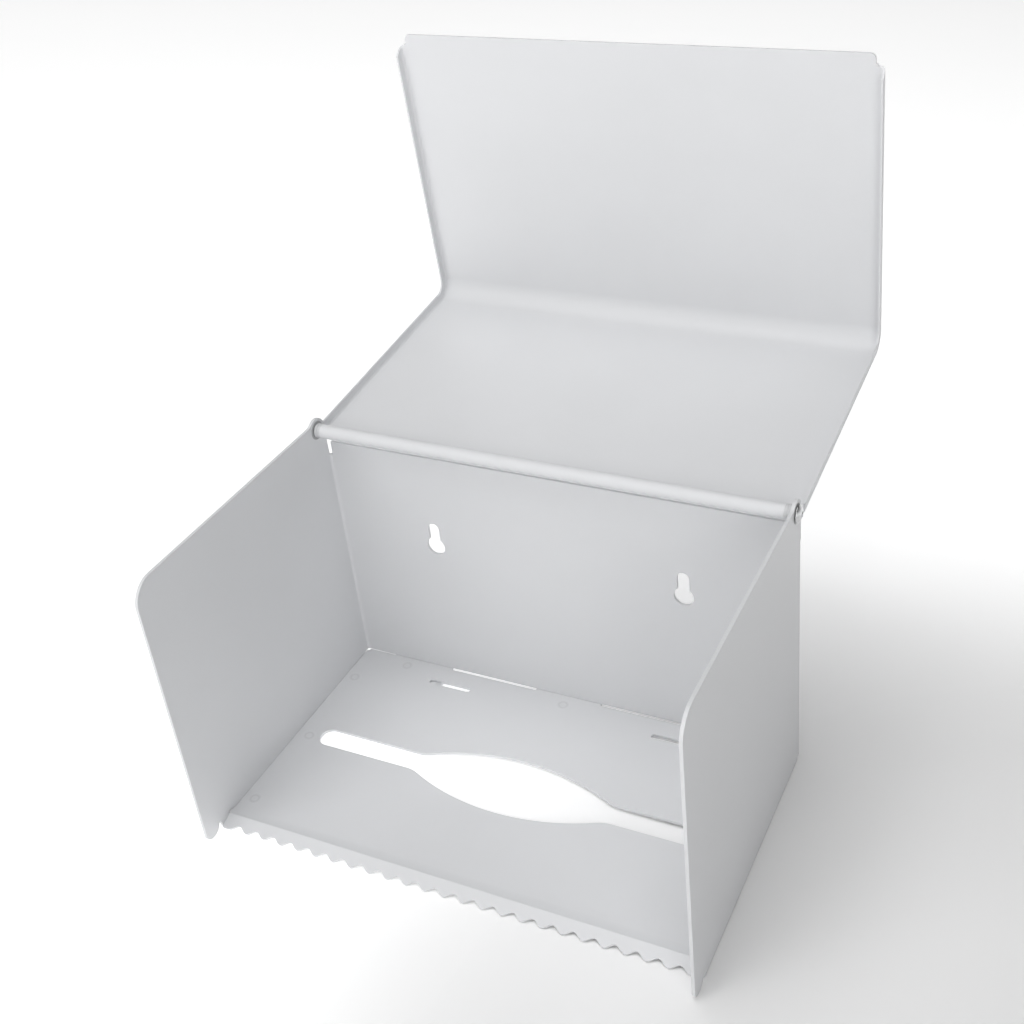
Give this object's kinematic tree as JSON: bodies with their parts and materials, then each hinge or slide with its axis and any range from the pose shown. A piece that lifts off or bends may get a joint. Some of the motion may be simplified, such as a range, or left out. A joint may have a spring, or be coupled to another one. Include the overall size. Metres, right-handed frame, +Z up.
{
  "type": "wall dispenser box",
  "caption": "Wall-mounted sheet-steel dispenser box with a slotted floor, a serrated front lip and an L-shaped lid hinged at the top rear edge.",
  "frame": {"origin": "midway between the two keyhole heads, on the wall face of the back panel", "axes": "+X right seen from the front, +Y into the wall, +Z up"},
  "size_m": [0.251, 0.2859, 0.3065],
  "materials": {
    "coat_body": "light grey powder coat, semi-gloss",
    "coat_floor": "light grey powder coat, semi-gloss",
    "coat_lid": "light grey powder coat, semi-gloss",
    "rod_steel": "bright drawn steel",
    "ring_nylon": "natural white nylon",
    "screw_steel": "zinc plated",
    "bush_nylon": "dark grey nylon"
  },
  "bodies": {
    "box": {"body_shell": "coat_body", "floor_plate": "coat_floor", "hinge_bush_left": "bush_nylon", "hinge_bush_right": "bush_nylon"},
    "lid": {"lid": "coat_lid", "hinge_rod": "rod_steel", "hinge_spacer_left": "ring_nylon", "hinge_spacer_right": "ring_nylon", "hinge_washer_left": "ring_nylon", "hinge_washer_right": "ring_nylon", "hinge_screw_left": "screw_steel", "hinge_screw_right": "screw_steel"}
  },
  "joints": [
    {"name": "lid_hinge", "type": "hinge", "parent": "box", "child": "lid", "pos_m": [0, -0.008, 0.0632], "axis": [1, 0, 0], "range_deg": [0, 174.5]}
  ]
}
